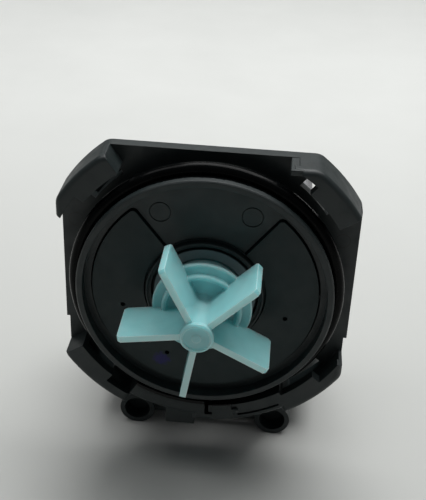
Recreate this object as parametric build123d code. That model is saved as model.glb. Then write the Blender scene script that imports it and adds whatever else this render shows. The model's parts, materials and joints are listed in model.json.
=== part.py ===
from build123d import *
from math import cos, radians, sin
import os

# Washer drain pump with a U-core synchronous motor, in millimetres, +Z up, front facing -Y.
# The origin is on the pump axis, in the middle of the land at the spigot's nose.

# One overrun serves every cut
overrun = 1.0
# Slack between two pieces of one body that seat in each other
seat_gap = 0.1
# Radial slack between a turning steel shaft and its bush or seal lip
running_gap = 0.03
# Side slack round pushed-on pieces such as bobbins and covers
slip_gap = 0.3
# Height of the faces that a printed or ground flat would touch: two faces never share a plane
face_gap = 0.05

# Spigot that seals in the washer's sump
spigot_r = 35.0
land_length = 2.8
nose_bevel = 0.4
groove_width = 4.2
back_land = 4.4
ring_cord = 4.0
ring_stand_out = 2.8
rim_thickness = 1.8
dish_depth = 2.7
drum_wall = 3.7

# Flange plate behind the spigot
plate_thickness = 3.4
side_margin = 2.7
low_side_inset = 0.9
low_side_top = -17.3
top_margin = 3.0
corner_round = 4.0
low_edge_angles = (241.5, 267.0, 301.5)

# Bayonet hooks at the four corners
hook_height = 8.1
hook_edge_round = 1.5
lip_thickness = 3.0
lip_clearance = 3.0
lip_reach = 3.4
narrow_lip_reach = 0.6
hook_wall = 3.0
latch_wall = 1.3
low_wall_setback = 0.6
hook_start_angles = (32.5, 125.5, 212.5, 302.5)
wide_lip_angle = 18.0
hook_angle = 28.5
end_wall_angle = 2.6
window_lead_angle = 1.6
window_clearance = 3.0
guide_angles = (122.0, 150.0)
guide_wall = 1.6
guide_setback = 0.5
guide_length = 11.0

# Wall between the lower hooks, with its moulded-in latch arm
low_wall_overhang = 1.2
low_wall_angles = (241.0, 304.6)
arm_wall = 2.5
slit_width = 0.7
slit_angles = (284.7, 301.6)
catch_slot_angle = 271.7
catch_slot_width_angle = 1.6
catch_foot_angle = 3.0
catch_foot_height = 0.9
latch_block_angles = (274.8, 283.0)
latch_block_setback = 0.6
latch_block_rise = 0.7
latch_bump_angle = 284.2
latch_bump_r = 1.1
latch_bump_setback = 2.0
lug_width = 8.6
lug_left = -10.6
lug_length = 6.4
lug_front_setback = 3.6

# Cover in the dish, and the sector of the housing's own floor that it leaves open
cover_thickness = 2.2
collar_clearance = 0.55
cover_gap = 0.4
sector_step = 0.8
sector_angles = (51.8, 128.2)
sector_corner_round = 1.5
plug_mark_r = 2.9
plug_mark_depth = 0.25
plug_mark_inset = 4.7
plug_mark_angles = (64.0, 118.0)
pin_hole_r = 0.65
pin_hole_depth = 1.2
pin_hole_offset = 0.75
pin_hole_angles = (194.5, 244.5, 344.2)
support_ring_set_back = 0.8
support_ring_wall = 1.5
support_rib_count = 6
support_rib_width = 1.6

# Bush carrier in the middle of the cover
collar_rise = 1.2
collar_outer_r = 16.05
collar_width = 0.55
collar_edge_bevel = 0.15
collar_step = 0.7
collar_foot_y = 1.7
trench_outer_r = 14.6
trench_width = 0.7
trench_depth = 2.0
well_r = 11.1
well_depth = 3.7
carrier_floor = 2.0
pilot_wall = 1.8
pilot_length = 5.4
holder_bore_r = 6.5
holder_wall = 1.6
holder_end_y = 20.2
shaft_pass_gap = 0.7
seal_pocket_front = 1.4
seal_length = 3.6
seal_step_length = 1.2
seal_step_r = 4.8
seal_lip_angle_share = 0.45

# Bushes, their rubber sleeves and the thrust washers
bush_outer_r = 4.4
front_bush_length = 8.4
front_bush_y = 12.6
rear_bush_length = 4.0
sleeve_set_back = 0.6
washer_thickness = 0.8
washer_r = 5.2

# Rotor can, its closed end and the disc staked to the back of the flange
can_inner_r = 11.8
can_wall = 1.4
can_end_y = 58.0
can_boss_wall = 1.6
can_boss_floor = 1.4
disc_margin = 2.4
disc_thickness = 2.4
disc_half_width = 24.5
disc_bottom = -43.0
stake_r = 1.5
stake_head_r = 2.4
stake_head = 1.4
stake_offset = 0.5
stake_angles = (30.0, 150.0, 210.0, 330.0)

# Rotor on its shaft
shaft_r = 2.5
shaft_front_y = -13.0
shaft_end_bevel = 0.4
rotor_front_y = 22.2
magnet_inner_r = 7.0
magnet_outer_r = 11.0
magnet_length = 25.0
magnet_overhang = 2.5
rotor_sleeve_r = 5.5
rotor_flange_r = 9.0
rotor_flange_thickness = 1.2
rotor_tail = 0.6

# Lost-motion dog between shaft and impeller
dog_ring_r = 4.8
dog_lobe_gap = 0.6
dog_half_angle = 20.0
dog_length = 4.0
dog_end_play = 0.35
tooth_inner_r = 6.0
tooth_half_angle = 20.0
buffer_angle = 4.0
buffer_wall = 0.6

# Impeller
blade_count = 5
blade_first_angle = 44.8
blade_tip_r = 20.8
blade_thickness = 1.75
blade_front_y = -19.6
blade_height = 13.6
blade_corner_bevel = 0.8
blade_root_round = 1.5
hub_head_rise = 1.4
hub_head_r = 4.4
hub_head_round = 0.5
hub_dish_r = 3.5
hub_dish_depth = 0.3
gate_mark_r = 1.2
hub_r = 3.7
upper_ring_r = 10.7
upper_ring_y = -8.3
upper_ring_width = 1.1
lower_ring_r = 13.35
lower_ring_y = -6.75
lower_ring_thickness = 1.25
ring_edge_round = 0.35
base_dish_r = 9.0
base_dish_depth = 1.3
hub_root_rise = 1.2
cavity_front_y = -4.4
skirt_r = 10.6
skirt_end_y = 2.0
skirt_wall = 1.4
cap_thickness = 1.1
shaft_end_gap = 0.3

# Stator core, stacked along the pump axis
core_front_y = 32.0
stack_length = 20.0
pole_gap = 0.3
pole_top = 17.0
pole_bottom = -17.0
pole_slit = 5.0
leg_centre = 21.5
leg_width = 13.0
core_bottom = -63.5
yoke_height = 13.0
core_corner_round = 4.0
pole_step = 0.8
pole_step_angles = (22.0, 78.0)
rivet_r = 1.6
rivet_head_r = 2.8
rivet_head = 0.9
rivet_x, rivet_z = 23.5, 9.0

# Screw bosses that also make the front sockets
boss_z = -58.0
boss_r = 5.5
boss_front_y = 20.0
socket_r = 4.0
socket_depth = 5.0
boss_web = 1.4
screw_r = 2.0
screw_head_r = 3.9
screw_head = 2.8
screw_drive_r = 1.5
screw_drive_depth = 1.4
leg_rib_width = 4.0
leg_rib_top = -28.0
leg_rib_front_z = -41.0
leg_rib_back_y = 24.2
cross_web_thickness = 2.0
cross_web_top = -44.0
cross_web_bottom = -60.0
can_rib_count = 4
can_rib_spread_angle = 180.0
can_rib_width = 2.2
can_rib_reach = 9.0
can_seat_width = 3.4
can_seat_thickness = 2.5

# Bobbins and windings round the two legs
bobbin_wall = 1.0
bobbin_flange = 1.2
winding_depth = 4.2
winding_round = 2.5
protector_size = (3.2, 6.0, 14.0)
protector_y, protector_z = 39.0, -33.0

# Two-part coil cover with the connector
cover_wall = 1.4
cover_round = 4.0
cover_end_wall = 1.2
cover_end_gap = 0.2
connector_z = -34.0
connector_width = 27.0
connector_height = 12.4
connector_wall = 1.3
connector_depth = 12.0
connector_round = 1.6
tab_spacing = 12.0
tab_width = 6.3
tab_thickness = 0.8
tab_bevel = 1.0
tab_set_back = 1.2
tab_shoulder_width = 8.2
tab_shoulder_length = 1.6
key_rib_width = 1.6
key_rib_height = 0.9

# Stations along the axis and radii of the flange, worked out from the sizes above
drum_wall_r = spigot_r - drum_wall
cover_bore_r = collar_outer_r + collar_clearance
support_ring_r = cover_bore_r + support_ring_set_back
support_outer_r = support_ring_r + support_ring_wall
plug_mark_place_r = drum_wall_r - plug_mark_inset
pin_hole_place_r = (cover_bore_r + drum_wall_r) / 2 - pin_hole_offset
stake_place_r = (support_outer_r + drum_wall_r) / 2 - stake_offset
disc_r = stake_place_r + disc_margin
rim_y = -(land_length / 2 + nose_bevel)
groove_front_y = land_length / 2
groove_back_y = groove_front_y + groove_width
seat_y = groove_back_y + back_land
plate_back_y = seat_y + plate_thickness
hook_front_y = seat_y - hook_height
lip_back_y = hook_front_y + lip_thickness
groove_root_r = spigot_r + ring_stand_out - ring_cord
ring_outer_r = spigot_r + ring_stand_out
flange_half_width = ring_outer_r + side_margin
low_half_width = flange_half_width - low_side_inset
flange_top = spigot_r + top_margin
lip_inner_r = ring_outer_r + lip_clearance
pocket_r = lip_inner_r + lip_reach
narrow_lip_r = pocket_r - narrow_lip_reach
corner_r = pocket_r + hook_wall
latch_edge_r = pocket_r + latch_wall
low_edge_r = pocket_r - low_wall_setback
window_inner_r = spigot_r + window_clearance
guide_outer_r = window_inner_r - guide_setback
low_wall_inner_r = lip_inner_r - low_wall_overhang
slit_inner_r = latch_edge_r - arm_wall
latch_block_inner_r = low_wall_inner_r + latch_block_setback
latch_bump_place_r = low_wall_inner_r + latch_bump_setback
lug_bottom = -low_edge_r - lug_length
floor_y = rim_y + dish_depth
sector_y = floor_y + sector_step
cover_back_y = floor_y + cover_thickness
collar_y = floor_y - collar_rise
collar_step_y = collar_y + collar_step
well_y = floor_y + well_depth
carrier_back_y = well_y + carrier_floor
can_outer_r = can_inner_r + can_wall
disc_front_y = plate_back_y + face_gap
disc_back_y = disc_front_y + disc_thickness
core_back_y = core_front_y + stack_length
magnet_front_y = core_front_y - magnet_overhang
magnet_back_y = magnet_front_y + magnet_length
rotor_back_y = magnet_back_y + rotor_flange_thickness + rotor_tail
rear_bush_y = rotor_back_y + washer_thickness + face_gap + face_gap
rear_bush_end_y = rear_bush_y + rear_bush_length
can_boss_end_y = rear_bush_end_y + slip_gap
can_boss_back_y = can_boss_end_y + can_boss_floor
hub_tip_y = blade_front_y - hub_head_rise
blade_back_y = blade_front_y + blade_height
skirt_bore_r = skirt_r - skirt_wall
dog_lobe_r = skirt_bore_r - dog_lobe_gap
cap_front_y = skirt_end_y - cap_thickness
dog_back_y = cap_front_y - dog_end_play
dog_front_y = dog_back_y - dog_length
yoke_top = core_bottom + yoke_height
core_half_width = leg_centre + leg_width / 2
leg_inner_x = leg_centre - leg_width / 2
core_mid_y = core_front_y + stack_length / 2
coil_top = pole_bottom - cover_end_gap - cover_end_wall - cover_end_gap
coil_bottom = yoke_top + cover_end_gap + cover_end_wall + cover_end_gap
coil_wide = leg_width / 2 + seat_gap + bobbin_wall + winding_depth
coil_deep = stack_length / 2 + seat_gap + bobbin_wall + winding_depth
shell_half_width = leg_centre + coil_wide + slip_gap + cover_wall
shell_front_y = core_mid_y - coil_deep - slip_gap - cover_wall
shell_back_y = core_mid_y + coil_deep + slip_gap + cover_wall
far = corner_r + flange_half_width


def turned(*points):
    """Solid turned about the pump axis from an outline of (radius, y) points."""
    return revolve(make_face(Polyline(*points, close=True)), Axis.Y)


def tube(inner, outer, front, back):
    """Plain ring about the pump axis."""
    return turned((inner, front), (outer, front), (outer, back), (inner, back))


def rod(radius, front, back):
    """Plain bar on the pump axis."""
    return turned((0, front), (radius, front), (radius, back), (0, back))


def prism(outline, front, back):
    """A front-view outline (x right, z up) pushed back between two depths."""
    return extrude(Plane.XZ.offset(-front) * outline, amount=back - front, dir=(0, 1, 0))


def polar(radius, angle):
    return (radius * cos(radians(angle)), radius * sin(radians(angle)))


def sector(inner, outer, start, end):
    """Front-view ring sector between two angles, counted from +X towards +Z."""
    middle = (start + end) / 2
    edges = [
        Line(polar(inner, start), polar(outer, start)),
        ThreePointArc(polar(outer, start), polar(outer, middle), polar(outer, end)),
        Line(polar(outer, end), polar(inner, end)),
        ThreePointArc(polar(inner, end), polar(inner, middle), polar(inner, start)),
    ]
    return make_face(edges)


def block(x_from, x_to, y_from, y_to, z_from, z_to):
    """Box between two corners."""
    centre = ((x_from + x_to) / 2, (y_from + y_to) / 2, (z_from + z_to) / 2)
    return Pos(*centre) * Box(x_to - x_from, y_to - y_from, z_to - z_from)


def spoke(inner, outer, width, front, back, angle):
    """Radial rib that starts at one radius and ends at another."""
    bar = block(inner, outer, front, back, -width / 2, width / 2)
    return Rot(0, -angle, 0) * bar


def outline(edge_r):
    """Front view of the flange: a disc cut flat at its top and stepped sides, lower edge at edge_r."""
    upper, lower = flange_top - low_side_top, corner_r + low_side_top
    window = Pos(0, flange_top - upper / 2) * Rectangle(2 * flange_half_width, upper)
    window += Pos(0, low_side_top - lower / 2) * Rectangle(2 * low_half_width, lower)
    shape = Circle(corner_r) & window
    corners = shape.vertices().filter_by(lambda vertex: abs(vertex.Y - low_side_top) > corner_round)
    shape = fillet(corners, corner_round)
    start, step, end = low_edge_angles
    shape -= sector(low_edge_r, far, start, step)
    return shape - sector(edge_r, far, step, end)


def latch_cuts():
    """Front view of the slit beside the latch arm and the L-shaped slot at its free end."""
    slot_end = catch_slot_angle + catch_slot_width_angle
    foot_end = catch_slot_angle + catch_foot_angle
    slit = sector(slit_inner_r, slit_inner_r + slit_width, *slit_angles)
    slot = sector(low_wall_inner_r - overrun, slit_inner_r, catch_slot_angle, slot_end)
    return slit + slot + sector(slit_inner_r - catch_foot_height, slit_inner_r, catch_slot_angle, foot_end)


def lip_plan():
    """Front view of the hooks' lips, wide and then narrow, with the wall between the lower hooks."""
    plan = sector(low_wall_inner_r, far, *low_wall_angles)
    for start in hook_start_angles:
        wide_end = start + wide_lip_angle
        plan += sector(lip_inner_r, far, start, wide_end)
        plan += sector(narrow_lip_r, far, wide_end - seat_gap, start + hook_angle)
    return (plan & outline(latch_edge_r)) - latch_cuts()


def pocket_plan():
    """Front view behind the lips: outer walls, the walls that stop the turn, and the lower wall."""
    plan = sector(low_wall_inner_r, far, *low_wall_angles)
    for start in hook_start_angles:
        plan += sector(pocket_r, far, start, start + hook_angle)
        plan += sector(lip_inner_r, far, start, start + end_wall_angle)
    return (plan & outline(latch_edge_r)) - latch_cuts()


def flange_plan():
    """Front view of the plate, with the windows behind the lips and the latch arm cut free."""
    plan = outline(latch_edge_r) - latch_cuts()
    for start in hook_start_angles:
        plan -= sector(window_inner_r, pocket_r, start + end_wall_angle,
                       start + wide_lip_angle + window_lead_angle)
    return plan


def flange():
    """Plate, corner hooks, lower wall and cable guide, rounded along the front edge of the outline."""
    hood = prism(outline(latch_edge_r), hook_front_y, plate_back_y)
    edges = hood.edges().filter_by(lambda edge: abs(edge.center().Y - hook_front_y) < seat_gap)
    hood = fillet(edges, hook_edge_round)
    shape = prism(flange_plan(), seat_y, plate_back_y)
    shape += prism(pocket_plan(), lip_back_y, seat_y)
    shape += prism(lip_plan(), hook_front_y, lip_back_y)
    shape &= hood
    raised = sector(latch_block_inner_r, latch_edge_r - hook_edge_round, *latch_block_angles)
    shape += prism(raised, hook_front_y - latch_block_rise, lip_back_y)
    bump_x, bump_z = polar(latch_bump_place_r, latch_bump_angle)
    shape += Pos(bump_x, hook_front_y, bump_z) * Sphere(latch_bump_r)
    guide = sector(guide_outer_r - guide_wall, guide_outer_r, *guide_angles)
    shape += prism(guide, plate_back_y - seat_gap, plate_back_y + guide_length)
    return shape + block(lug_left, lug_left + lug_width, hook_front_y + lug_front_setback, plate_back_y,
                         lug_bottom, -low_edge_r + overrun)


def cover_recess():
    """Front view of the recess for the cover: a disc with a sector left out, its corners rounded."""
    start, end = sector_angles
    wedge = make_face(Polyline((0, 0), polar(far, start), polar(far, end), close=True))
    plan = Circle(drum_wall_r) - wedge
    corners = plan.vertices().filter_by(lambda vertex: vertex.Y > cover_bore_r)
    return fillet(corners, sector_corner_round)


def front_housing():
    """Flange, bayonet hooks and spigot drum in one moulding, open behind for the rotor can."""
    shape = flange()
    rim_inner_r = spigot_r - rim_thickness
    shape += turned(
        (rim_inner_r, rim_y), (spigot_r - nose_bevel, rim_y), (spigot_r, rim_y + nose_bevel),
        (spigot_r, groove_front_y), (groove_root_r, groove_front_y), (groove_root_r, groove_back_y),
        (spigot_r, groove_back_y), (spigot_r, plate_back_y), (drum_wall_r, plate_back_y),
        (drum_wall_r, sector_y), (rim_inner_r, sector_y))
    panel = Circle(drum_wall_r + seat_gap) - cover_recess() - Circle(cover_bore_r)
    shape += prism(panel, sector_y, cover_back_y + face_gap + seat_gap)
    for angle in plug_mark_angles:
        x, z = polar(plug_mark_place_r, angle)
        shape -= Pos(x, 0, z) * tube(plug_mark_r - plug_mark_depth, plug_mark_r,
                                     sector_y - overrun, sector_y + plug_mark_depth)
    shape += tube(support_ring_r, support_outer_r, cover_back_y + face_gap, seat_y)
    for i in range(support_rib_count):
        shape += spoke(support_ring_r + seat_gap, drum_wall_r + seat_gap, support_rib_width,
                       cover_back_y + face_gap, seat_y + seat_gap, i * 360 / support_rib_count)
    shape -= rod(can_outer_r + face_gap, seat_y - overrun, plate_back_y + overrun)
    for angle in stake_angles:
        x, z = polar(stake_place_r, angle)
        shape -= Pos(x, 0, z) * rod(stake_r + face_gap, seat_y - overrun, plate_back_y + overrun)
    return shape


def rotor_can():
    """Tube for the rotor with its disc, stakes, core seat and the two screw bosses, in one moulding."""
    plate = Circle(disc_r) + Pos(0, disc_bottom / 2) * Rectangle(2 * disc_half_width, -disc_bottom)
    shape = prism(plate, disc_front_y, disc_back_y) + can_and_ribs() + boss_legs()
    for angle in stake_angles:
        x, z = polar(stake_place_r, angle)
        shape += Pos(x, 0, z) * rod(stake_r, seat_y - stake_head, disc_front_y + seat_gap)
        shape += Pos(x, 0, z) * rod(stake_head_r, seat_y - stake_head, seat_y - face_gap)
    shape -= rod(can_inner_r, seat_y - overrun, can_end_y - can_wall)
    boss_bore_r = bush_outer_r + sleeve_wall() + seat_gap
    shape -= rod(boss_bore_r, can_end_y - can_wall - overrun, can_boss_end_y)
    for side in (-1, 1):
        at = Pos(side * leg_centre, 0, boss_z)
        shape -= at * rod(socket_r, boss_front_y - overrun, boss_front_y + socket_depth)
        shape -= at * rod(screw_r + face_gap, boss_front_y + socket_depth + boss_web,
                          core_front_y + overrun)
    return shape


def sleeve_wall():
    return holder_bore_r - seat_gap - bush_outer_r


def can_and_ribs():
    """Closed tube for the rotor, with the ribs and the seat ring that the core stands against."""
    boss_r_outer = bush_outer_r + sleeve_wall() + seat_gap + can_boss_wall
    shape = rod(can_outer_r, seat_y, can_end_y)
    shape += rod(boss_r_outer, can_end_y - overrun, can_boss_back_y)
    seat_front = core_front_y - can_seat_thickness
    shape += tube(can_inner_r, can_outer_r + can_seat_width, seat_front, core_front_y)
    for i in range(can_rib_count):
        angle = i * can_rib_spread_angle / (can_rib_count - 1)
        root_r = can_outer_r + can_rib_reach + can_seat_width
        rib = make_face(Polyline(
            (can_inner_r, disc_front_y), (root_r, disc_front_y), (root_r, disc_back_y),
            (can_outer_r + can_seat_width, seat_front),
            (can_outer_r + can_seat_width, core_front_y), (can_inner_r, core_front_y), close=True))
        rib = extrude(rib, amount=can_rib_width / 2, both=True)
        shape += Rot(0, -angle, 0) * rib
    return shape


def boss_legs():
    """Two ribs behind the disc that reach down to the screw bosses, tied by a cross web."""
    shape = block(-leg_centre, leg_centre, leg_rib_back_y - cross_web_thickness, leg_rib_back_y,
                  cross_web_bottom, cross_web_top)
    for side in (-1, 1):
        middle = side * leg_centre
        shape += Pos(middle, 0, boss_z) * rod(boss_r, boss_front_y, core_front_y)
        foot_z = boss_z + boss_r - overrun
        rib = make_face(Polyline(
            (disc_front_y, leg_rib_top), (disc_front_y, leg_rib_front_z),
            (boss_front_y, foot_z), (leg_rib_back_y, foot_z), (leg_rib_back_y, leg_rib_top), close=True))
        rib = Plane((0, 0, 0), x_dir=(0, 1, 0), z_dir=(1, 0, 0)) * rib
        shape += Pos(middle, 0, 0) * extrude(rib, amount=leg_rib_width / 2, both=True)
    return shape


def chamber_cover():
    """Plate that closes most of the drum, with three pin holes and a bore for the collar."""
    plan = offset(cover_recess(), -cover_gap) - Circle(cover_bore_r)
    shape = prism(plan, floor_y, cover_back_y)
    for angle in pin_hole_angles:
        x, z = polar(pin_hole_place_r, angle)
        shape -= Pos(x, 0, z) * rod(pin_hole_r, floor_y - overrun, floor_y + pin_hole_depth)
    return shape


def bush_carrier():
    """Collar, trench, well and bush holder in one turned moulding, plugged into the rotor can."""
    pilot_r = can_inner_r - seat_gap
    pilot_back_y = carrier_back_y + pilot_length
    seal_front_y = well_y + seal_pocket_front
    seal_back_y = seal_front_y + seal_length + seat_gap
    step_back_y = seal_back_y + seal_step_length
    holder_r = holder_bore_r + holder_wall
    ridge_r = collar_outer_r - collar_width
    foot_r = cover_bore_r - seat_gap
    trench_inner_r = trench_outer_r - trench_width
    trench_y = floor_y + trench_depth
    return turned(
        (well_r, collar_step_y), (trench_inner_r, collar_step_y), (trench_inner_r, trench_y),
        (trench_outer_r, trench_y), (trench_outer_r, collar_step_y), (ridge_r, collar_step_y),
        (ridge_r, collar_y), (collar_outer_r - collar_edge_bevel, collar_y),
        (collar_outer_r, collar_y + collar_edge_bevel), (collar_outer_r, collar_foot_y),
        (foot_r, collar_foot_y), (foot_r, carrier_back_y),
        (pilot_r, carrier_back_y), (pilot_r, pilot_back_y), (pilot_r - pilot_wall, pilot_back_y),
        (pilot_r - pilot_wall, carrier_back_y), (holder_r, carrier_back_y), (holder_r, holder_end_y),
        (holder_bore_r, holder_end_y), (holder_bore_r, step_back_y), (seal_step_r, step_back_y),
        (seal_step_r, seal_back_y), (holder_bore_r, seal_back_y), (holder_bore_r, seal_front_y),
        (shaft_r + shaft_pass_gap, seal_front_y), (shaft_r + shaft_pass_gap, well_y),
        (well_r, well_y))


def seal_ring(centre_r, centre_y, cord):
    return revolve(Pos(centre_r, centre_y) * Circle(cord / 2), Axis.Y)


def shaft_seal():
    """Rubber seal whose lip leans forward to the shaft."""
    front = well_y + seal_pocket_front + face_gap
    back = front + seal_length
    lip_r = shaft_r + running_gap
    outer = holder_bore_r - seat_gap
    web = front + seal_length * seal_lip_angle_share
    return turned((lip_r, front), (lip_r + buffer_wall, front), (seal_step_r, web), (seal_step_r, front),
                  (outer, front), (outer, back), (seal_step_r, back), (lip_r, web))


def bush(front, length):
    return tube(shaft_r + running_gap, bush_outer_r, front, front + length)


def bush_sleeve(front, back):
    return tube(bush_outer_r, holder_bore_r - seat_gap, front, back)


def thrust_washer(front):
    return tube(shaft_r, washer_r, front, front + washer_thickness)


def rotor_shaft():
    end_y = rear_bush_end_y - seat_gap
    return turned((0, shaft_front_y), (shaft_r - shaft_end_bevel, shaft_front_y),
                  (shaft_r, shaft_front_y + shaft_end_bevel), (shaft_r, end_y - shaft_end_bevel),
                  (shaft_r - shaft_end_bevel, end_y), (0, end_y))


def rotor_core():
    """Moulded sleeve that holds the magnet between two flanges."""
    flange_front = magnet_front_y - rotor_flange_thickness
    flange_back = magnet_back_y + rotor_flange_thickness
    return turned((shaft_r, rotor_front_y), (rotor_sleeve_r, rotor_front_y), (rotor_sleeve_r, flange_front),
                  (rotor_flange_r, flange_front), (rotor_flange_r, magnet_front_y),
                  (magnet_inner_r, magnet_front_y), (magnet_inner_r, magnet_back_y),
                  (rotor_flange_r, magnet_back_y), (rotor_flange_r, flange_back),
                  (washer_r, flange_back), (washer_r, rotor_back_y), (shaft_r, rotor_back_y))


def drive_dog():
    """Ring on the shaft with two opposite lobes that push the impeller's teeth."""
    shape = rod(dog_ring_r, dog_front_y, dog_back_y)
    for turn in (0, 180):
        lobe = sector(dog_ring_r / 2, dog_lobe_r, turn - dog_half_angle, turn + dog_half_angle)
        shape += prism(lobe, dog_front_y, dog_back_y)
    return shape - rod(shaft_r, dog_front_y - overrun, dog_back_y + overrun)


def blades():
    """Five flat radial vanes with rounded roots on the hub, bevelled at their outer corners."""
    plan = Circle(hub_r)
    for i in range(blade_count):
        turn = blade_first_angle + i * 360 / blade_count
        plan += Rot(0, 0, turn) * Pos(blade_tip_r / 2, 0) * Rectangle(blade_tip_r, blade_thickness)
    roots = plan.vertices().filter_by(lambda vertex: vertex.X**2 + vertex.Y**2 < hub_head_r**2)
    plan = fillet(roots, blade_root_round)
    bevel = blade_corner_bevel
    swept = turned((0, blade_front_y), (blade_tip_r - bevel, blade_front_y),
                   (blade_tip_r, blade_front_y + bevel), (blade_tip_r, blade_back_y - bevel),
                   (blade_tip_r - bevel, blade_back_y), (0, blade_back_y))
    return prism(plan, blade_front_y, blade_back_y) & swept


def impeller():
    """Stepped base disc, hub and flat blades, hollowed behind for the drive dog."""
    dish_y = upper_ring_y + base_dish_depth
    ring_back_y = lower_ring_y + lower_ring_thickness
    edge = ring_edge_round
    shape = blades() + turned(
        (0, hub_tip_y), (hub_head_r - hub_head_round, hub_tip_y), (hub_head_r, hub_tip_y + hub_head_round),
        (hub_head_r, blade_front_y), (hub_r, blade_front_y + hub_head_round), (hub_r, dish_y - hub_root_rise),
        (hub_r + hub_root_rise, dish_y), (base_dish_r, dish_y),
        (upper_ring_r - upper_ring_width, upper_ring_y),
        (upper_ring_r - edge, upper_ring_y), (upper_ring_r, upper_ring_y + edge),
        (upper_ring_r, lower_ring_y), (lower_ring_r - edge, lower_ring_y),
        (lower_ring_r, lower_ring_y + edge), (lower_ring_r, ring_back_y), (skirt_r, ring_back_y),
        (skirt_r, skirt_end_y), (0, skirt_end_y))
    shape -= rod(skirt_bore_r, cavity_front_y, skirt_end_y + overrun)
    shape -= rod(hub_dish_r, hub_tip_y - overrun, hub_tip_y + hub_dish_depth)
    shape += rod(gate_mark_r, hub_tip_y + hub_dish_depth / 2, hub_tip_y + overrun)
    shape -= rod(shaft_r + running_gap + running_gap, shaft_front_y - shaft_end_gap,
                 skirt_end_y + overrun)
    for turn in (90, 270):
        tooth = sector(tooth_inner_r, skirt_bore_r + seat_gap, turn - tooth_half_angle,
                       turn + tooth_half_angle)
        shape += prism(tooth, cavity_front_y - seat_gap, cap_front_y - seat_gap)
    return shape


def drive_buffers():
    """Rubber jackets on the impeller's two teeth, where the lobes strike."""
    shape = None
    for turn in (90, 270):
        half = tooth_half_angle + buffer_angle
        jacket = sector(tooth_inner_r - buffer_wall, skirt_bore_r - seat_gap, turn - half, turn + half)
        jacket -= sector(tooth_inner_r, skirt_bore_r + overrun, turn - tooth_half_angle,
                         turn + tooth_half_angle)
        piece = prism(jacket, cavity_front_y + face_gap, cap_front_y - seat_gap)
        shape = piece if shape is None else shape + piece
    return shape


def impeller_cap():
    """Snap-in ring that keeps the dog inside the impeller's base."""
    return tube(shaft_r + shaft_pass_gap, skirt_bore_r - face_gap, cap_front_y, skirt_end_y - face_gap)


def stator_core():
    """U-shaped stack: yoke below, two legs, and two pole shoes that embrace the rotor can."""
    height = pole_top - core_bottom
    plan = Pos(0, core_bottom + height / 2) * RectangleRounded(
        2 * core_half_width, height, core_corner_round)
    slot_height = pole_bottom - yoke_top
    plan -= Pos(0, yoke_top + slot_height / 2) * Rectangle(2 * leg_inner_x, slot_height)
    plan -= Pos(0, (pole_top + pole_bottom) / 2) * Rectangle(pole_slit, pole_top - pole_bottom + overrun)
    bore_r = can_outer_r + pole_gap
    plan -= Circle(bore_r)
    for turn in (0, 180):
        start, end = pole_step_angles
        plan -= sector(bore_r - overrun, bore_r + pole_step, turn + start, turn + end)
    for side in (-1, 1):
        plan -= Pos(side * leg_centre, boss_z) * Circle(screw_r + slip_gap)
        plan -= Pos(side * rivet_x, rivet_z) * Circle(rivet_r)
    return prism(plan, core_front_y + face_gap, core_back_y)


def core_rivets():
    """Two rivets through the pole shoes of the stack."""
    front, back = core_front_y + face_gap, core_back_y
    shape = None
    for side in (-1, 1):
        rivet = rod(rivet_r, front - rivet_head, back + rivet_head)
        rivet += rod(rivet_head_r, front - rivet_head, front)
        rivet += rod(rivet_head_r, back, back + rivet_head)
        rivet = Pos(side * rivet_x, 0, rivet_z) * rivet
        shape = rivet if shape is None else shape + rivet
    return shape


def leg_frame(side, inner_x, inner_y, wall_x, wall_y, bottom, top, edge_round):
    """Rectangular ring round one leg of the core, seen from above."""
    at = Plane.XY.offset(bottom) * Pos(side * leg_centre, core_mid_y)
    outer = RectangleRounded(2 * (inner_x + wall_x), 2 * (inner_y + wall_y), edge_round)
    ring = outer - Rectangle(2 * inner_x, 2 * inner_y)
    return extrude(at * ring, amount=top - bottom, dir=(0, 0, 1))


def bobbin(side):
    """Tube on one leg with a flange at each end."""
    inner_x, inner_y = leg_width / 2 + seat_gap, stack_length / 2 + seat_gap
    wide = bobbin_wall + winding_depth
    shape = leg_frame(side, inner_x, inner_y, bobbin_wall, bobbin_wall, coil_bottom, coil_top, seat_gap)
    shape += leg_frame(side, inner_x, inner_y, wide, wide, coil_bottom,
                       coil_bottom + bobbin_flange, winding_round)
    shape += leg_frame(side, inner_x, inner_y, wide, wide, coil_top - bobbin_flange,
                       coil_top, winding_round)
    return shape


def winding(side):
    """Copper between the bobbin's flanges."""
    inner_x = leg_width / 2 + seat_gap + bobbin_wall + face_gap
    inner_y = stack_length / 2 + seat_gap + bobbin_wall + face_gap
    depth = winding_depth - seat_gap
    return leg_frame(side, inner_x, inner_y, depth, depth, coil_bottom + bobbin_flange + face_gap,
                     coil_top - bobbin_flange - face_gap, winding_round)


def thermal_protector():
    """Cut-out that lies against the right winding, between the two coils."""
    wide, deep, high = protector_size
    face_x = leg_centre - coil_wide + seat_gap - face_gap
    return block(face_x - wide, face_x, protector_y - deep / 2, protector_y + deep / 2,
                 protector_z - high / 2, protector_z + high / 2)


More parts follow.
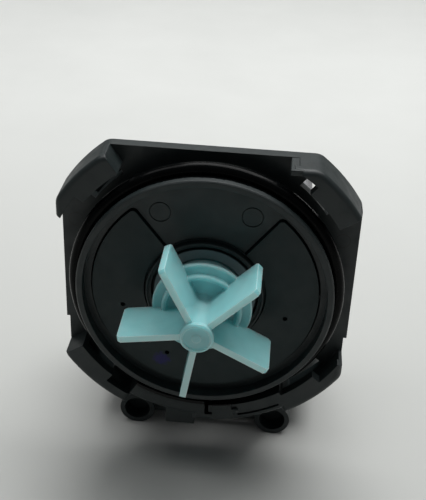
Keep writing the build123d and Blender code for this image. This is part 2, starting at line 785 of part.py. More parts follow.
def coil_shell(front, back, open_front):
    """Half of the coil cover: a box open towards its other half, notched for the core's legs."""
    bottom = yoke_top + cover_end_gap
    top = pole_bottom - cover_end_gap
    box = block(-shell_half_width, shell_half_width, front, back, bottom, top)
    closed_y = back if open_front else front
    edges = box.edges().filter_by(Axis.Z).filter_by(lambda edge: abs(edge.center().Y - closed_y) < seat_gap)
    box = fillet(edges, cover_round)
    inner_front = front - overrun if open_front else front + cover_wall
    inner_back = back - cover_wall if open_front else back + overrun
    wide = shell_half_width - cover_wall
    hollow = block(-wide, wide, inner_front, inner_back, bottom + cover_end_wall, top - cover_end_wall)
    edges = hollow.edges().filter_by(Axis.Z).filter_by(
        lambda edge: abs(edge.center().Y - (inner_back if open_front else inner_front)) < seat_gap)
    box -= fillet(edges, cover_round - cover_wall)
    for side in (-1, 1):
        middle = side * leg_centre
        half = leg_width / 2 + slip_gap
        box -= block(middle - half, middle + half, core_front_y - slip_gap, core_back_y + slip_gap,
                     bottom - overrun, top + overrun)
    return box


def coil_cover_front():
    return coil_shell(shell_front_y, core_mid_y - face_gap, False)


def coil_cover_rear():
    """Rear half, with the two-pole connector socket standing out of its back."""
    shape = coil_shell(core_mid_y + face_gap, shell_back_y, True)
    mouth_y = shell_back_y + connector_depth
    centre = Pos(0, connector_z)
    sleeve = centre * RectangleRounded(connector_width, connector_height, connector_round)
    shape += prism(sleeve, shell_back_y - seat_gap, mouth_y)
    socket = centre * Rectangle(connector_width - 2 * connector_wall, connector_height - 2 * connector_wall)
    shape -= prism(socket, shell_back_y, mouth_y + overrun)
    for side in (-1, 1):
        edge_x = side * (connector_width / 2 - connector_wall)
        rib_x = sorted((edge_x, edge_x - side * key_rib_height))
        shape += block(*rib_x, shell_back_y, mouth_y - tab_set_back,
                       connector_z - key_rib_width / 2, connector_z + key_rib_width / 2)
        slot = Pos(side * tab_spacing / 2, connector_z) * Rectangle(
            tab_thickness + seat_gap, tab_width + seat_gap)
        shape -= prism(slot, shell_back_y - cover_wall - overrun, shell_back_y + overrun)
    return shape


def terminal(side):
    """Flat tab through the cover's back, with a shoulder that stops against the wall inside."""
    root_y = shell_back_y - cover_wall - face_gap
    tip_y = shell_back_y + connector_depth - tab_set_back
    half, wide = tab_width / 2, tab_shoulder_width / 2
    back_y = root_y - tab_shoulder_length
    face = make_face(Polyline(
        (back_y, -wide), (root_y, -wide), (root_y, -half), (tip_y - tab_bevel, -half),
        (tip_y, tab_bevel - half), (tip_y, half - tab_bevel), (tip_y - tab_bevel, half),
        (root_y, half), (root_y, wide), (back_y, wide), close=True))
    face = Plane((0, 0, 0), x_dir=(0, 1, 0), z_dir=(1, 0, 0)) * face
    tab = extrude(face, amount=tab_thickness / 2, both=True)
    return Pos(side * tab_spacing / 2, 0, connector_z) * tab


def stator_screws():
    """Two screws through the yoke into the housing's bosses."""
    tip_y = boss_front_y + socket_depth + boss_web + seat_gap
    head_y = core_back_y + face_gap
    shape = None
    for side in (-1, 1):
        screw = turned((0, tip_y), (screw_r / 2, tip_y), (screw_r, tip_y + screw_r / 2), (screw_r, head_y),
                       (screw_head_r, head_y), (screw_head_r, head_y + screw_head / 2),
                       (screw_head_r - screw_head / 2, head_y + screw_head), (0, head_y + screw_head))
        drive = RegularPolygon(screw_drive_r, 6)
        screw -= prism(drive, head_y + screw_head - screw_drive_depth, head_y + screw_head + overrun)
        screw = Pos(side * leg_centre, 0, boss_z) * screw
        shape = screw if shape is None else shape + screw
    return shape


pieces = {
    "front_housing": front_housing(),
    "rotor_can": rotor_can(),
    "chamber_cover": chamber_cover(),
    "bush_carrier": bush_carrier(),
    "spigot_seal_ring": seal_ring(groove_root_r + ring_cord / 2, (groove_front_y + groove_back_y) / 2,
                                  ring_cord - seat_gap),
    "carrier_seal_ring": seal_ring(can_inner_r + (seat_y - carrier_back_y) / 2,
                                   (carrier_back_y + seat_y) / 2, seat_y - carrier_back_y - seat_gap),
    "shaft_seal": shaft_seal(),
    "front_bush": bush(front_bush_y, front_bush_length),
    "front_bush_sleeve": bush_sleeve(front_bush_y - sleeve_set_back, holder_end_y - sleeve_set_back),
    "rear_bush": bush(rear_bush_y, rear_bush_length),
    "rear_bush_sleeve": bush_sleeve(rear_bush_y, rear_bush_end_y),
    "rotor_shaft": rotor_shaft(),
    "rotor_core": rotor_core(),
    "rotor_magnet": tube(magnet_inner_r, magnet_outer_r, magnet_front_y + face_gap,
                         magnet_back_y - face_gap),
    "front_thrust_washer": thrust_washer(rotor_front_y - washer_thickness - face_gap),
    "rear_thrust_washer": thrust_washer(rotor_back_y + face_gap),
    "drive_dog": drive_dog(),
    "impeller": impeller(),
    "impeller_cap": impeller_cap(),
    "drive_buffers": drive_buffers(),
    "stator_core": stator_core(),
    "core_rivets": core_rivets(),
    "left_bobbin": bobbin(-1),
    "right_bobbin": bobbin(1),
    "left_winding": winding(-1),
    "right_winding": winding(1),
    "thermal_protector": thermal_protector(),
    "coil_cover_front": coil_cover_front(),
    "coil_cover_rear": coil_cover_rear(),
    "left_terminal": terminal(-1),
    "right_terminal": terminal(1),
    "stator_screws": stator_screws(),
}

os.makedirs("parts", exist_ok=True)
for name, shape in pieces.items():
    export_step(shape, f"parts/{name}.step")
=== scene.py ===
import json
import math

import bmesh
import bpy
from mathutils import Matrix, Vector


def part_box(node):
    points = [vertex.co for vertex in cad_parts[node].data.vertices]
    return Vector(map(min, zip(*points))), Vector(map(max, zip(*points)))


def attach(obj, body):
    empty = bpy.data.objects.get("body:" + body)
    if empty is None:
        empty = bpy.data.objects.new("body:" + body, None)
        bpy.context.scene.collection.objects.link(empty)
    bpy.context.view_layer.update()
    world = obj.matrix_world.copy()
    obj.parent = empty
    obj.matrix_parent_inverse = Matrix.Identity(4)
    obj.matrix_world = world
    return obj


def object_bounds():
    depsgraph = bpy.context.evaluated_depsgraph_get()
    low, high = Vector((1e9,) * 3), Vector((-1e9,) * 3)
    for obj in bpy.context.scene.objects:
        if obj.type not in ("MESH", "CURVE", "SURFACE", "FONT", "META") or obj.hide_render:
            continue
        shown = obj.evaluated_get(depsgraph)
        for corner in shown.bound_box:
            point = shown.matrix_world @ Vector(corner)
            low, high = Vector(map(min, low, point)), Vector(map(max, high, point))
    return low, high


# Washer drain pump. +Z is up, the spigot faces -Y and the pump stands on its yoke.
# The studio is in metres. What lies on the pump is in millimetres, and depth means its Y.
MM = 0.001

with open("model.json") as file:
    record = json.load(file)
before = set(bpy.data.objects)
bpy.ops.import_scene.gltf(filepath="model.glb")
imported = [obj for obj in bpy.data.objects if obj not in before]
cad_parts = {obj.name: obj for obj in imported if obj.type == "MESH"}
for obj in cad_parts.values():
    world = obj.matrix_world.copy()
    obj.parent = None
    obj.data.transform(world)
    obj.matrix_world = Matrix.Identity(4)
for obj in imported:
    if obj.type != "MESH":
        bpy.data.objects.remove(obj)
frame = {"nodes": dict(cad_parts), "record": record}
cad_low, cad_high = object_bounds()
nodes = frame["nodes"]
mounts = {mount["name"]: mount["dims"] for mount in frame["record"]["mounts"]}

FLOOR_Z = cad_low[2]
SPIGOT_RADIUS = mounts["spigot"]["r_mm"]
SEAL_RING_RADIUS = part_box("spigot_seal_ring")[1][0] / MM
COVER_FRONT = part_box("chamber_cover")[0][1] / MM
VANES_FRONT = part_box("impeller")[0][1] / MM
# Depths of the front housing: the hooks' front, their lips' back, the plate's face and the upper sector
# of the dish's floor
HOOK_FRONT, LIP_BACK, PLATE_FACE, SECTOR_FACE = 1.9, 4.9, 10.0, 1.7

# The part of a noise texture's range that most of it fills
MIDDLE = (0.3, 0.7)
# Sockets of the Mix node for each kind of value: first input, second input and result
MIX_SOCKETS = {"RGBA": (6, 7, 2), "FLOAT": (2, 3, 0)}
SURFACE_SOCKETS = {
    "base": "Base Color", "metallic": "Metallic", "roughness": "Roughness", "specular": "Specular IOR Level",
    "coat": "Coat Weight", "coat_roughness": "Coat Roughness", "subsurface": "Subsurface Weight",
    "subsurface_radius": "Subsurface Radius", "subsurface_scale": "Subsurface Scale", "normal": "Normal",
}


class Shader:
    """A node-based material with short helpers for the textures that the pump's surfaces need."""

    def __init__(self, name):
        self.material = bpy.data.materials.new(name)
        self.material.use_nodes = True
        self.tree = self.material.node_tree
        self.tree.nodes.clear()
        self.shader = self.add("ShaderNodeBsdfPrincipled")
        self.feed(self.add("ShaderNodeOutputMaterial").inputs["Surface"], self.shader.outputs["BSDF"])
        self.place = self.add("ShaderNodeTexCoord").outputs["Object"]

    def add(self, kind, **settings):
        node = self.tree.nodes.new(kind)
        for key, value in settings.items():
            setattr(node, key, value)
        return node

    def feed(self, socket, value):
        """Links a result to a socket, or sets the socket's own number, vector or colour."""
        if isinstance(value, bpy.types.NodeSocket):
            self.tree.links.new(value, socket)
        elif socket.type == "RGBA":
            socket.default_value = (*value, 1.0)
        else:
            socket.default_value = value

    def use(self, kind, result, inputs, **settings):
        """Adds a node, feeds its inputs and gives one of its results."""
        node = self.add(kind, **settings)
        for key, value in inputs.items():
            self.feed(node.inputs[key], value)
        return node.outputs[result]

    def set(self, **values):
        for key, value in values.items():
            self.feed(self.shader.inputs[SURFACE_SOCKETS[key]], value)

    def so_far(self, key):
        """What one of the surface's sockets is fed with so far."""
        return self.shader.inputs[SURFACE_SOCKETS[key]].links[0].from_socket

    def paint(self, mask, colour, strength=1.0):
        """Lays a colour over the base colour where the mask is 1."""
        self.set(base=self.mix(self.times(mask, strength), self.so_far("base"), colour))

    def maths(self, operation, *values):
        return self.use("ShaderNodeMath", 0, dict(enumerate(values)), operation=operation)

    def vectors(self, operation, result, *values):
        return self.use("ShaderNodeVectorMath", result, dict(enumerate(values)), operation=operation)

    def times(self, product, *others):
        for other in others:
            product = self.maths("MULTIPLY", product, other)
        return product

    def mix(self, factor, first, second, kind="RGBA"):
        first_socket, second_socket, result = MIX_SOCKETS[kind]
        inputs = {0: factor, first_socket: first, second_socket: second}
        return self.use("ShaderNodeMix", result, inputs, data_type=kind)

    def span(self, value, low, high, to_low=0.0, to_high=1.0, **settings):
        """Spreads the values from low to high over a new range."""
        inputs = {"Value": value, "From Min": low, "From Max": high, "To Min": to_low, "To Max": to_high}
        return self.use("ShaderNodeMapRange", "Result", inputs, **settings)

    def between(self, value, low, high, soft):
        """1 between two values, falling to 0 outside them."""
        rise = self.span(value, low - soft, low + soft)
        return self.times(rise, self.span(value, high + soft, high - soft))

    def stretch(self, scale):
        """The place with each axis scaled: a texture is drawn out along an axis with a scale under 1."""
        return self.use("ShaderNodeMapping", "Vector", {"Vector": self.place, "Scale": scale})

    def noise(self, size, detail=3.0, roughness=0.55, distortion=0.0, vector=None):
        inputs = {"Vector": vector or self.place, "Scale": 1 / (size * MM), "Detail": detail,
                  "Roughness": roughness, "Distortion": distortion}
        return self.use("ShaderNodeTexNoise", "Fac", inputs)

    def mottle(self, size, low=0.0, high=1.0, part=MIDDLE, **settings):
        """Noise of one size, with a part of its range spread from low to high."""
        return self.span(self.noise(size, **settings), *part, low, high)

    def cells(self, size):
        return self.use("ShaderNodeTexVoronoi", "Distance", {"Vector": self.place, "Scale": 1 / (size * MM)})

    def parts(self, vector):
        """The X, Y and Z of a vector, by name."""
        node = self.add("ShaderNodeSeparateXYZ")
        self.feed(node.inputs["Vector"], vector)
        return node.outputs

    def facing(self):
        """The normal of the surface before any relief."""
        return self.add("ShaderNodeNewGeometry").outputs["Normal"]

    def soft_edges(self, radius):
        """Normal of the surface with its edges rounded, as moulded or tumbled edges are."""
        return self.use("ShaderNodeBevel", "Normal", {"Radius": radius * MM}, samples=6)

    def edge_mask(self, radius, flat=0.02, edge=0.35):
        """1 along worn edges, 0 on flat faces: flat and edge say how far the rounded normal turns there."""
        agreement = self.vectors("DOT_PRODUCT", "Value", self.soft_edges(radius), self.facing())
        return self.span(self.maths("SUBTRACT", 1.0, agreement), flat, edge)

    def relief(self, height, depth, strength, base=None):
        """Normal of the surface raised by a texture, over another normal where one is given."""
        inputs = {"Height": height, "Distance": depth * MM, "Strength": strength}
        if base is not None:
            inputs["Normal"] = base
        return self.use("ShaderNodeBump", "Normal", inputs)

    def from_axis(self):
        """Distance from the pump's axis and depth."""
        across = self.vectors("MULTIPLY", "Vector", self.place, (1.0, 0.0, 1.0))
        radius = self.maths("MULTIPLY", self.vectors("LENGTH", "Value", across), 1 / MM)
        return radius, self.maths("MULTIPLY", self.parts(self.place)["Y"], 1 / MM)

    def from_point(self, *at):
        offset = self.vectors("SUBTRACT", "Vector", self.place, tuple(value * MM for value in at))
        return self.maths("MULTIPLY", self.vectors("LENGTH", "Value", offset), 1 / MM)


def moulded(name, dark, light, roughness=(0.42, 0.58), grain=0.012, specular=0.45, edge_wear_and_highlight=None):
    """Moulded plastic: faint mottling from the melt, fine grain, handling dust and slightly worn edges,
    where asked lightened partly as wear and partly as painted highlight.
    """
    edge_radius = 0.3
    look = Shader(name)
    clouds = look.mottle(9.0, part=(0.32, 0.68), detail=4.0)
    streaks = look.mottle(2.2, distortion=0.6, vector=look.stretch((1.0, 0.3, 1.0)))
    look.set(base=look.mix(look.times(look.maths("ADD", clouds, streaks), 0.5), dark, light))
    # Lighter patches along the edges: partly real wear, partly painted highlight where rounded edges catch
    # the light.
    if edge_wear_and_highlight:
        patches = look.mottle(0.9, 0.35, 1.0, part=(0.35, 0.65))
        look.paint(look.times(look.edge_mask(edge_radius), patches), edge_wear_and_highlight)
    look.set(roughness=look.mottle(3.5, *roughness, detail=4.0), specular=specular)
    edges = look.soft_edges(edge_radius)
    fine = look.relief(look.noise(0.28, detail=2.0), depth=grain, strength=0.5, base=edges)
    look.set(normal=look.relief(look.noise(4.0, detail=2.0), depth=0.05, strength=0.25, base=fine))
    return look


def metal(name, dark, light, roughness=(0.25, 0.4), scratch=0.25, stretch=(1.0, 1.0, 1.0), depth=0.006,
          edge_radius=0.15):
    """Bare metal with handling marks and fine scratches, drawn out as stretch says."""
    look = Shader(name)
    marks = look.noise(scratch, detail=4.0, roughness=0.6, vector=look.stretch(stretch))
    stain = look.mottle(4.0, part=(0.35, 0.7), detail=4.0)
    look.set(base=look.mix(look.times(stain, look.span(marks, *MIDDLE)), light, dark))
    look.set(metallic=1.0, roughness=look.mottle(2.0, *roughness))
    look.set(normal=look.relief(marks, depth=depth, strength=0.6, base=look.soft_edges(edge_radius)))
    return look


def grease(look):
    """Smears black silicone grease round the seal ring's groove, from the nose land to the plate."""
    inner, outer = SPIGOT_RADIUS - 0.25, SEAL_RING_RADIUS + 1.55
    front, back, ragged = 0.3, PLATE_FACE - 0.7, 0.2
    grease_black = (0.0016, 0.0019, 0.0020)
    dry_specular, greasy_specular = 0.5, 0.18
    radius, depth = look.from_axis()
    smear = look.maths("ADD", depth, look.mottle(2.5, -ragged, ragged, detail=4.0, distortion=0.8))
    ring = look.between(radius, inner, outer, soft=0.1)
    zone = look.times(ring, look.between(smear, front, back, soft=0.2))
    look.paint(zone, grease_black)
    wet = look.mottle(1.2, 0.08, 0.24, part=(0.35, 0.65), detail=4.0, distortion=1.0)
    look.set(roughness=look.mix(zone, look.so_far("roughness"), wet, kind="FLOAT"))
    look.set(specular=look.span(zone, 0.0, 1.0, dry_specular, greasy_specular))


def ink_dab(look, x, y, z, radius, ragged=0.7, solid_share=0.55):
    """A dab of violet inspection ink with ragged edges, which is solid over a share of its radius."""
    violet = (0.0100, 0.0085, 0.085)
    reach = look.maths("ADD", look.from_point(x, y, z), look.mottle(1.1, -ragged, ragged))
    look.paint(look.span(reach, radius, radius * solid_share), violet, strength=0.95)


def ring_mark(look, x, y, z, radius, line, colour, strength=1.0):
    """The fine round line that an ejector pin leaves on a moulding. A line wider than the ring is a dot."""
    mark = look.between(look.from_point(x, y, z), radius - line / 2, radius + line / 2, soft=0.06)
    look.paint(mark, colour, strength)


def painted_light_ring(look, radii, depths, colour):
    """A ring of the surface round the pump's axis, painted lighter as painted light."""
    radius, depth = look.from_axis()
    ring = look.between(radius, *radii, soft=0.15)
    look.paint(look.times(ring, look.between(depth, *depths, soft=0.1)), colour)


def housing_black():
    """Black moulding, greased round the seal ring, with an ejector pin's ring at each side and a dot."""
    # Its lighter edges are partly wear and partly painted highlight.
    look = moulded("housing_black", dark=(0.0058, 0.0112, 0.0118), light=(0.0086, 0.0154, 0.0160),
                   edge_wear_and_highlight=(0.030, 0.038, 0.038))
    grease(look)
    for x, z in ((-36.8, 14.8), (36.2, 14.3)):
        ring_mark(look, x, PLATE_FACE, z, radius=2.0, line=0.2, colour=(0.0020, 0.0025, 0.0026))
    ring_mark(look, 12.7, SECTOR_FACE, 16.7, radius=0.1, line=0.5, colour=(0.0012, 0.0014, 0.0015))
    return look


def cover_black():
    """Slightly greener black, with painted light in two rings round the impeller's base, a dab of ink and a
    faint ring.
    """
    look = moulded("cover_black", dark=(0.0062, 0.0158, 0.0165), light=(0.0090, 0.0200, 0.0208),
                   roughness=(0.40, 0.55), specular=0.30)
    ink_dab(look, -11.5, COVER_FRONT, -23.3, radius=2.5)
    # Painted light: the collar's inner ring is painted much lighter, as if the impeller's disc cast no shade
    # on it.
    painted_light_ring(look, radii=(11.1, 13.8), depths=(COVER_FRONT - 0.8, COVER_FRONT - 0.1),
                 colour=(0.170, 0.215, 0.225))
    # Painted light on the collar's outer ring too.
    painted_light_ring(look, radii=(14.7, 16.0), depths=(COVER_FRONT - 1.5, COVER_FRONT),
                 colour=(0.028, 0.036, 0.037))
    ring_mark(look, 0.3, COVER_FRONT, -21.9, radius=1.5, line=0.12, colour=(0.016, 0.028, 0.029),
              strength=0.6)
    return look


def impeller_turquoise():
    """Slightly translucent plastic, with painted sheen on the vanes' front faces and painted highlights
    along the edges.
    """
    deep, clear = (0.285, 0.590, 0.612), (0.330, 0.655, 0.672)
    painted_sheen, painted_edge_highlight = (0.56, 0.78, 0.77), (0.70, 0.90, 0.89)
    look = Shader("impeller_turquoise")
    look.set(base=look.mix(look.mottle(5.0), deep, clear))
    radius, depth = look.from_axis()
    # Painted sheen: faces that point to the front, near the vanes' front, are painted paler, as a reflection
    # would make them.
    faces_front = look.span(look.parts(look.facing())["Y"], -0.80, -0.95)
    off_hub = look.span(radius, 3.6, 4.6)
    near_front = look.span(depth, VANES_FRONT + 13.0, VANES_FRONT + 9.0)
    look.paint(look.times(faces_front, off_hub, near_front), painted_sheen, strength=0.9)
    # Painted highlight: the rounded edges are painted pale, as light catching them would make them.
    look.paint(look.edge_mask(0.45), painted_edge_highlight, strength=0.85)
    look.set(roughness=look.mottle(2.5, 0.30, 0.42), specular=0.5, coat=0.45, coat_roughness=0.09)
    look.set(subsurface=0.6, subsurface_scale=6.0 * MM, subsurface_radius=(0.35, 1.0, 1.0))
    look.set(normal=look.relief(look.noise(1.4), depth=0.02, strength=0.35, base=look.soft_edges(0.35)))
    return look


def seal_rubber():
    """Black rubber under a film of grease."""
    dry, greasy = (0.0012, 0.0015, 0.0016), (0.0022, 0.0026, 0.0027)
    look = Shader("seal_rubber")
    film = look.mottle(3.0, part=(0.4, 0.62), detail=4.0, distortion=0.8)
    look.set(base=look.mix(film, dry, greasy))
    look.set(roughness=look.span(film, 0.0, 1.0, 0.22, 0.10), specular=0.06)
    look.set(normal=look.relief(look.noise(1.6, detail=4.0, distortion=1.2), depth=0.03, strength=0.35))
    return look


def sleeve_rubber():
    """Matt dark rubber."""
    dark, light = (0.018, 0.018, 0.018), (0.030, 0.030, 0.029)
    look = Shader("sleeve_rubber")
    look.set(base=look.mix(look.mottle(2.0, part=(0.35, 0.65)), dark, light))
    look.set(roughness=look.mottle(1.0, 0.7, 0.9), specular=0.3)
    look.set(normal=look.relief(look.noise(0.2), depth=0.01, strength=0.5, base=look.soft_edges(0.2)))
    return look


def bush_carbon():
    """Sintered carbon with fine pores."""
    pore, land = (0.012, 0.012, 0.013), (0.045, 0.045, 0.047)
    look = Shader("bush_carbon")
    pores = look.span(look.cells(0.35), 0.0, 0.5)
    look.set(base=look.mix(pores, pore, land))
    look.set(roughness=look.mottle(0.8, 0.32, 0.5), specular=0.5)
    look.set(normal=look.relief(pores, depth=0.015, strength=0.5, base=look.soft_edges(0.15)))
    return look


def magnet_ferrite():
    """Ferrite with fine grinding marks along its axis."""
    dark, light = (0.030, 0.029, 0.031), (0.060, 0.058, 0.060)
    look = Shader("magnet_ferrite")
    look.set(base=look.mix(look.mottle(1.2, detail=5.0), dark, light))
    look.set(roughness=look.mottle(0.6, 0.38, 0.6), metallic=0.25)
    marks = look.noise(0.15, vector=look.stretch((1.0, 0.2, 1.0)))
    look.set(normal=look.relief(marks, depth=0.01, strength=0.6))
    return look


def core_steel():
    """Stacked steel sheets: dark gaps between their edges on the stack's flanks, and faint oxide."""
    sheet = 0.5
    dark, light = (0.30, 0.305, 0.315), (0.44, 0.445, 0.455)
    oxide, shadow = (0.190, 0.175, 0.158), (0.035, 0.035, 0.036)
    look = Shader("core_steel")
    phase = look.maths("FRACT", look.times(look.parts(look.place)["Y"], 1 / (sheet * MM)))
    from_middle = look.maths("ABSOLUTE", look.maths("SUBTRACT", phase, 0.5))
    flank = look.span(look.maths("ABSOLUTE", look.parts(look.facing())["Y"]), 0.9, 0.5)
    gap = look.times(look.span(from_middle, 0.36, 0.5), flank)
    shade = look.mottle(0.5, detail=2.0, vector=look.stretch((0.02, 1.0, 0.02)))
    look.set(base=look.mix(shade, dark, light))
    look.paint(look.mottle(5.0, part=(0.42, 0.68), detail=5.0), oxide, strength=0.35)
    look.paint(gap, shadow)
    look.set(metallic=0.85, roughness=look.mottle(1.5, 0.48, 0.66, detail=4.0))
    fine = look.relief(look.noise(0.3), depth=0.01, strength=0.4, base=look.soft_edges(0.2))
    look.set(normal=look.relief(look.maths("SUBTRACT", 1.0, gap), depth=0.06, strength=0.6, base=fine))
    return look


def copper():
    """Enamelled wire, shown by its turns."""
    wire = 0.25
    # Distance over which the wave texture repeats at a scale of 1, close to 2 pi / 20
    wave_length = 0.31
    shadow, bright = (0.16, 0.050, 0.020), (0.62, 0.25, 0.095)
    look = Shader("copper")
    inputs = {"Vector": look.place, "Scale": wave_length / (wire * MM), "Distortion": 1.2,
              "Detail Scale": 60.0}
    turns = look.use("ShaderNodeTexWave", "Fac", inputs, bands_direction="Z")
    look.set(base=look.mix(turns, shadow, bright))
    look.set(metallic=0.9, roughness=0.28, coat=0.5, coat_roughness=0.15)
    look.set(normal=look.relief(turns, depth=0.12, strength=0.9))
    return look


PLAIN_PLASTICS = {
    "rotor_plastic": dict(dark=(0.020, 0.020, 0.021), light=(0.034, 0.034, 0.035)),
    "bobbin_plastic": dict(dark=(0.56, 0.54, 0.46), light=(0.64, 0.62, 0.55), roughness=(0.4, 0.55),
                           grain=0.01),
    "protector_plastic": dict(dark=(0.44, 0.42, 0.33), light=(0.52, 0.50, 0.42)),
}
BARE_METALS = {
    "shaft_steel": dict(dark=(0.42, 0.42, 0.43), light=(0.66, 0.66, 0.67), roughness=(0.14, 0.26),
                        scratch=0.12, stretch=(0.25, 6.0, 0.25), depth=0.002, edge_radius=0.1),
    "washer_steel": dict(dark=(0.40, 0.40, 0.40), light=(0.60, 0.60, 0.59), scratch=0.3),
    "rivet_steel": dict(dark=(0.36, 0.36, 0.37), light=(0.60, 0.60, 0.61), scratch=0.3),
    "terminal_tin": dict(dark=(0.46, 0.46, 0.44), light=(0.70, 0.70, 0.67), roughness=(0.22, 0.36),
                         scratch=0.2, stretch=(1.0, 0.2, 1.0), depth=0.003, edge_radius=0.08),
    "screw_zinc": dict(dark=(0.38, 0.38, 0.36), light=(0.62, 0.62, 0.58), roughness=(0.24, 0.4),
                       scratch=0.35),
}
OWN_LOOKS = (housing_black, cover_black, impeller_turquoise, seal_rubber, sleeve_rubber, bush_carbon,
             magnet_ferrite, core_steel, copper)

finishes = {make.__name__: make() for make in OWN_LOOKS}
finishes |= {slot: moulded(slot, **values) for slot, values in PLAIN_PLASTICS.items()}
finishes |= {slot: metal(slot, **values) for slot, values in BARE_METALS.items()}
for part in frame["record"]["subparts"]:
    materials = nodes[part["node"]].data.materials
    materials.clear()
    materials.append(finishes[part["material_slot"]].material)

# Details of the housing's moulding that its solid leaves out. Angles are in degrees from +X towards +Z.
ARC_LEDGES = {
    "inside_low_wall": dict(radii=(38.25, 39.75), angles=(241.0, 271.7), depths=(HOOK_FRONT, PLATE_FACE)),
    "latch_lead_in": dict(radii=(38.75, 40.35), angles=(274.8, 283.0), depths=(HOOK_FRONT - 0.7, LIP_BACK)),
    "cable_guide_lip": dict(radii=(37.0, 42.6), angles=(126.5, 150.0), depths=(15.9, 17.4)),
    "lower_left_window_step": dict(radii=(42.4, 44.4), angles=(213.0, 222.5), depths=(11.2, 13.3)),
}
HOOK_END_CORNERS = ((20.5, 37.95), (20.4, 36.3), (23.6, 36.3), (23.6, 37.95))
HOOK_END_DEPTHS = (HOOK_FRONT + 0.2, PLATE_FACE)
ARC_STEP_DEG = 1.5
LEDGE_ROUNDING = 0.25


def corner(shape, x, y, z):
    """Adds one corner of a block."""
    return shape.verts.new((x * MM, y * MM, z * MM))


def arc_block(shape, radii, angles, depths):
    """Adds a closed block between two radii, two angles and two depths."""
    (inner, outer), (start, end), (front, back) = radii, angles, depths
    outline = ((inner, front), (outer, front), (outer, back), (inner, back))
    count = int((end - start) / ARC_STEP_DEG)
    rings = []
    for i in range(count + 1):
        angle = math.radians(start + (end - start) * i / count)
        across, up = math.cos(angle), math.sin(angle)
        rings.append([corner(shape, radius * across, y, radius * up) for radius, y in outline])
    for one, two in zip(rings, rings[1:]):
        for k in range(len(outline)):
            j = (k + 1) % len(outline)
            shape.faces.new((one[k], one[j], two[j], two[k]))
    shape.faces.new(rings[0][::-1])
    shape.faces.new(rings[-1])


def plan_block(shape, corners, depths):
    """Adds a closed block with a front view of straight sides."""
    near, far = ([corner(shape, x, y, z) for x, z in corners] for y in depths)
    shape.faces.new(near)
    shape.faces.new(far[::-1])
    for k in range(len(corners)):
        j = (k + 1) % len(corners)
        shape.faces.new((near[k], far[k], far[j], near[j]))


def show(name, data):
    """Puts data into the scene as an object."""
    thing = bpy.data.objects.new(name, data)
    bpy.context.scene.collection.objects.link(thing)
    return thing


def housing_ledges():
    """All the blocks as one piece with slightly rounded edges."""
    shape = bmesh.new()
    for ledge in ARC_LEDGES.values():
        arc_block(shape, **ledge)
    plan_block(shape, HOOK_END_CORNERS, HOOK_END_DEPTHS)
    bmesh.ops.recalc_face_normals(shape, faces=shape.faces)
    mesh = bpy.data.meshes.new("housing_ledges")
    shape.to_mesh(mesh)
    shape.free()
    mesh.materials.append(finishes["housing_black"].material)
    piece = show("housing_ledges", mesh)
    rounding = piece.modifiers.new("rounding", "BEVEL")
    rounding.width = LEDGE_ROUNDING * MM
    rounding.segments = 2
    rounding.limit_method = "ANGLE"
    return piece


ledges = housing_ledges()
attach(ledges, "pump_body")

# Studio: a pale sheet that curves up behind the pump
SHEET_FRONT, BEND_START, BEND_RADIUS, SHEET_TOP, HALF_WIDTH = -1.6, 0.55, 0.5, 2.2, 2.2
BEND_STEPS = 12
SHADE_START, SHADE_END = 0.38, 0.0


def studio_paper():
    """Pale paper with painted shade that darkens it towards the viewer between two depths, as the
    photograph's ground does.
    """
    dark, light, painted_shade_colour = (0.665, 0.675, 0.655), (0.695, 0.705, 0.685), (0.540, 0.550, 0.530)
    look = Shader("studio_paper")
    look.set(base=look.mix(look.mottle(60.0), dark, light))
    # Painted shade on the ground in front of the pump.
    shade = look.span(look.parts(look.place)["Y"], SHADE_START, SHADE_END, interpolation_type="SMOOTHSTEP")
    look.paint(shade, painted_shade_colour)
    look.set(roughness=0.85, specular=0.2)
    return look


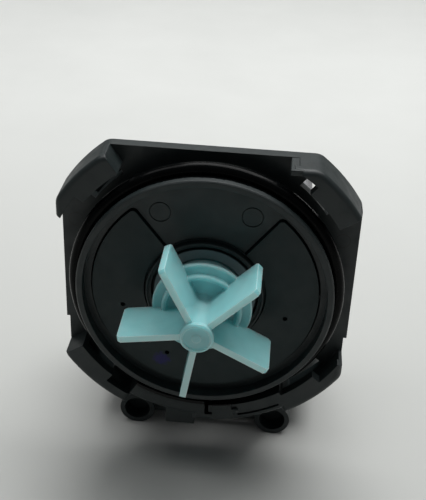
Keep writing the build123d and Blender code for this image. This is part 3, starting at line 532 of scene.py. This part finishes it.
def studio_sheet():
    """A flat floor, a quarter bend behind the pump and a wall above it."""
    profile = [(SHEET_FRONT, 0.0), (BEND_START, 0.0)]
    for i in range(1, BEND_STEPS + 1):
        angle = math.radians(90 * i / BEND_STEPS)
        profile.append((BEND_START + BEND_RADIUS * math.sin(angle), BEND_RADIUS * (1 - math.cos(angle))))
    profile.append((BEND_START + BEND_RADIUS, SHEET_TOP))
    points = [(x, y, FLOOR_Z + z) for y, z in profile for x in (-HALF_WIDTH, HALF_WIDTH)]
    faces = [(2 * i, 2 * i + 1, 2 * i + 3, 2 * i + 2) for i in range(len(profile) - 1)]
    mesh = bpy.data.meshes.new("studio_sheet")
    mesh.from_pydata(points, [], faces)
    mesh.shade_smooth()
    mesh.materials.append(studio_paper().material)
    return show("studio_sheet", mesh)


studio_sheet()

# Light: a large lamp above and behind, as in the photograph, a weak one at each side and a faint sky
LAMP_TARGET = Vector((0.0, 0.0, -0.02))
world = bpy.data.worlds.new("studio")
bpy.context.scene.world = world
world.use_nodes = True
sky = world.node_tree.nodes["Background"]
sky.inputs["Color"].default_value = (0.93, 0.96, 1.0, 1.0)
sky.inputs["Strength"].default_value = 0.10


def softbox(name, at, width, height, power):
    """A rectangular lamp that faces the pump."""
    lamp = bpy.data.lights.new(name, "AREA")
    lamp.shape = "RECTANGLE"
    lamp.size = width
    lamp.size_y = height
    lamp.energy = power
    holder = show(name, lamp)
    holder.location = at
    holder.rotation_mode = "QUATERNION"
    holder.rotation_quaternion = (LAMP_TARGET - Vector(at)).to_track_quat("-Z", "Y")


softbox("light_top", at=(0.09, 0.30, 0.78), width=0.8, height=0.6, power=8.6)
softbox("light_left", at=(-0.45, 0.05, 0.75), width=0.4, height=0.4, power=1.3)
softbox("light_right", at=(0.50, 0.05, 0.75), width=0.4, height=0.4, power=0.8)

# Camera: its place, in millimetres, and angles, in radians, are worked out from the photograph's edges
CAMERA_AT = (16.7747, -219.2939, 142.5227)
PITCH, YAW, ROLL = 0.528426846, 0.0679847805, -0.0438747279
FOCAL_PX, LONG_SIDE_PX = 967.289, 500
SENSOR_SIDE = 36.0

lens = bpy.data.cameras.new("camera")
lens.sensor_width = SENSOR_SIDE
lens.lens = FOCAL_PX / LONG_SIDE_PX * SENSOR_SIDE
lens.clip_start, lens.clip_end = 0.01, 20.0
camera = show("camera", lens)
camera.matrix_world = (Matrix.Translation(Vector(CAMERA_AT) * MM) @ Matrix.Rotation(YAW, 4, "Z")
                       @ Matrix.Rotation(math.pi / 2 - PITCH, 4, "X") @ Matrix.Rotation(-ROLL, 4, "Z"))
bpy.context.scene.camera = camera
bpy.context.scene.view_settings.view_transform = "Standard"
